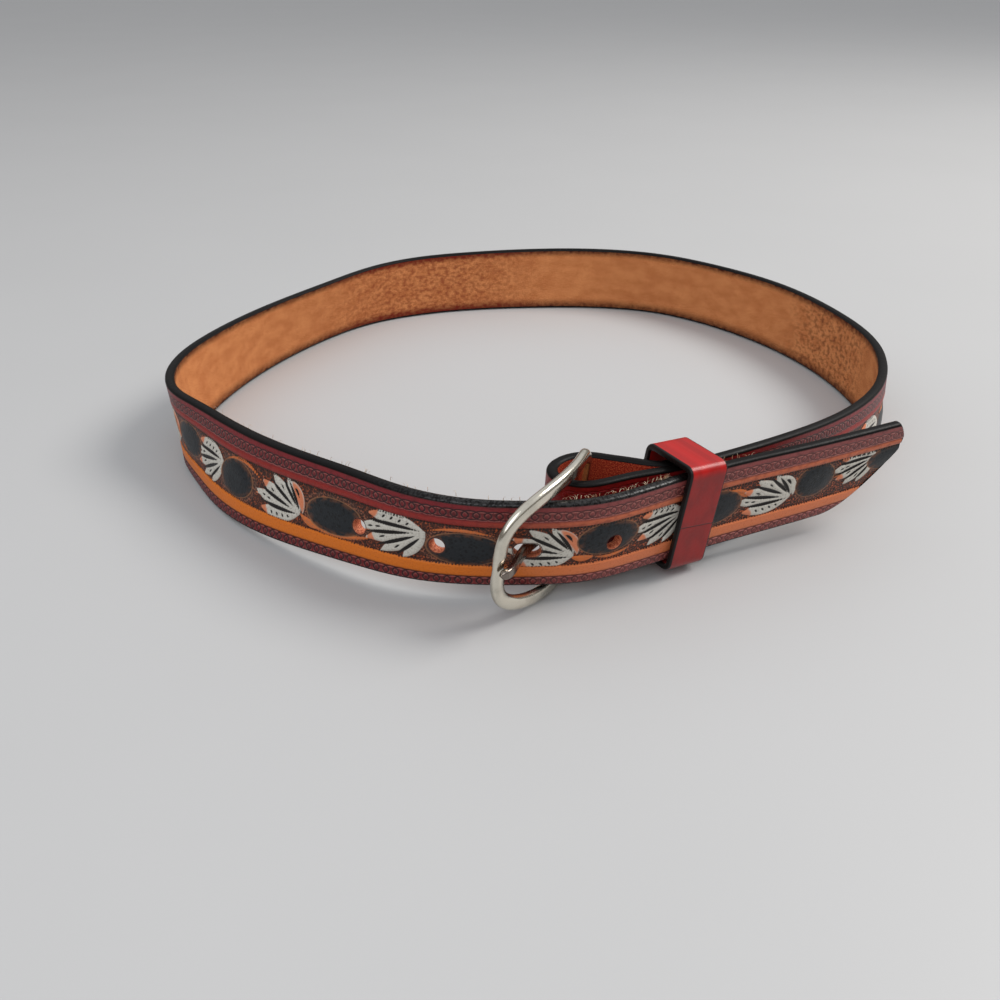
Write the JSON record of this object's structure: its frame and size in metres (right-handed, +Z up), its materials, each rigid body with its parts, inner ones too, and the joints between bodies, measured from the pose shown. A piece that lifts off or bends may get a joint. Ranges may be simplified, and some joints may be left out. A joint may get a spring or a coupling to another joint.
{
  "type": "western tooled belt",
  "caption": "Tooled leather strap buckled into a standing loop, folded round the bar of a D-shaped buckle, with a tongue through a punched hole and a keeper over the tip.",
  "frame": {"origin": "middle of the belt's outline in plan, on the surface that its lower edge stands on", "axes": "+Z up from the lower edge to the upper edge, +Y from the buckle to the back of the loop, +X towards the side that the tip of the strap points to"},
  "size_m": [0.2628, 0.2766, 0.0404],
  "materials": {
    "strap": "tooled, dyed and waxed",
    "buckle_frame": "worn nickel plate",
    "buckle_tongue": "dull plated steel",
    "keeper_loop": "smooth, dyed and glossy",
    "flap_rivet": "satin plate"
  },
  "bodies": {
    "root": {"strap": "strap", "buckle_frame": "buckle_frame", "buckle_tongue": "buckle_tongue", "keeper_loop": "keeper_loop", "flap_rivet": "flap_rivet"}
  },
  "joints": []
}
